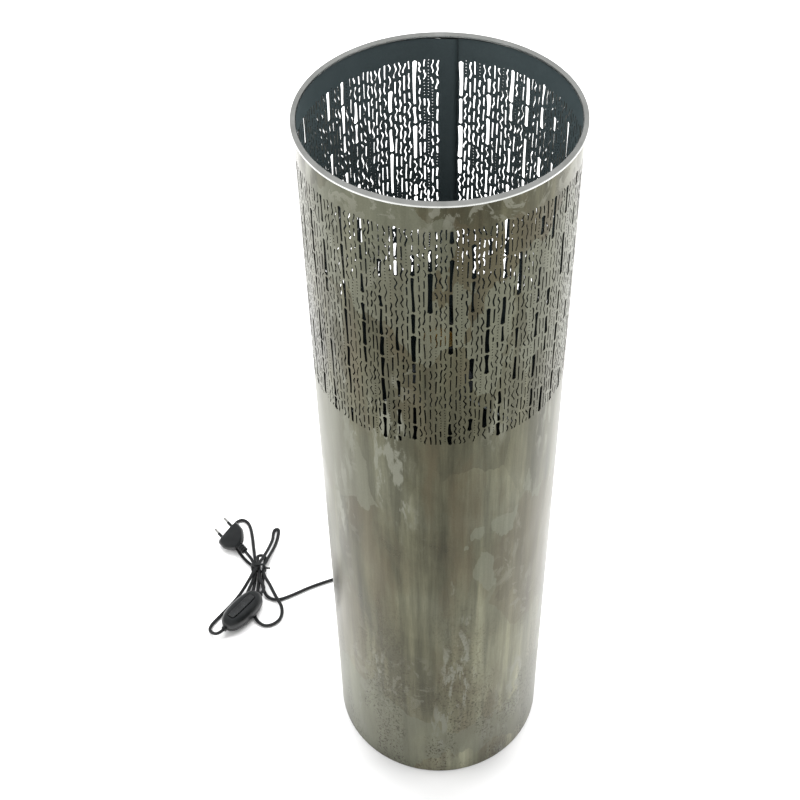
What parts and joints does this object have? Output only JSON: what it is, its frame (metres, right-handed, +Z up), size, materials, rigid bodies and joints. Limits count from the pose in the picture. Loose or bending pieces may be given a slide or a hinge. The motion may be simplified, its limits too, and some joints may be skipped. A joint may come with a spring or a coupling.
{
  "type": "floor lamp",
  "caption": "Tall round sheet-metal floor lamp, cut-outs near its open top, inner lamp holder on a wire spider, mains lead with foot switch and two-pin plug.",
  "frame": {"origin": "centre of the round tube, on the floor plane", "axes": "+Z up the tube, -Y towards the viewer of the picture, +X to the viewer's right"},
  "size_m": [0.4056, 0.3621, 0.8018],
  "materials": {
    "patinated_steel": "satin, patinated sheet",
    "polished_steel": "polished",
    "dark_steel": "matte dark coat",
    "zinc_steel": "zinc plated",
    "black_plastic": "satin",
    "button_plastic": "semi-gloss",
    "ceramic": "glazed",
    "brass": "satin",
    "pin_brass": "nickel plated",
    "black_pvc": "semi-matte flexible plastic",
    "felt_pad": "felt"
  },
  "bodies": {
    "lamp": {"tube_shell": "patinated_steel", "rim_bead": "polished_steel", "base_plate": "dark_steel", "foot_pads": "felt_pad", "spider_hub": "dark_steel", "spider_arms": "polished_steel", "holder_nipple": "zinc_steel", "holder_nut": "zinc_steel", "holder_cap": "black_plastic", "holder_mantle": "black_plastic", "contact_block": "ceramic", "screw_shell": "brass", "centre_contact": "brass", "cord_grommet": "black_plastic", "cord_clamp": "black_plastic", "clamp_screws": "zinc_steel", "cord_tie": "black_plastic", "switch_base": "black_plastic", "switch_cover": "black_plastic", "plug_body": "black_plastic", "plug_pins": "pin_brass", "plug_sleeves": "black_plastic", "inner_cord": "black_pvc", "cord_lamp_side": "black_pvc", "cord_hank": "black_pvc"},
    "button": {"switch_button": "button_plastic"}
  },
  "joints": [
    {"name": "button_press", "type": "slide", "parent": "lamp", "child": "button", "axis": [0, 0, -1], "range_m": [0, 0.002], "stiffness_N_per_m": 800}
  ]
}
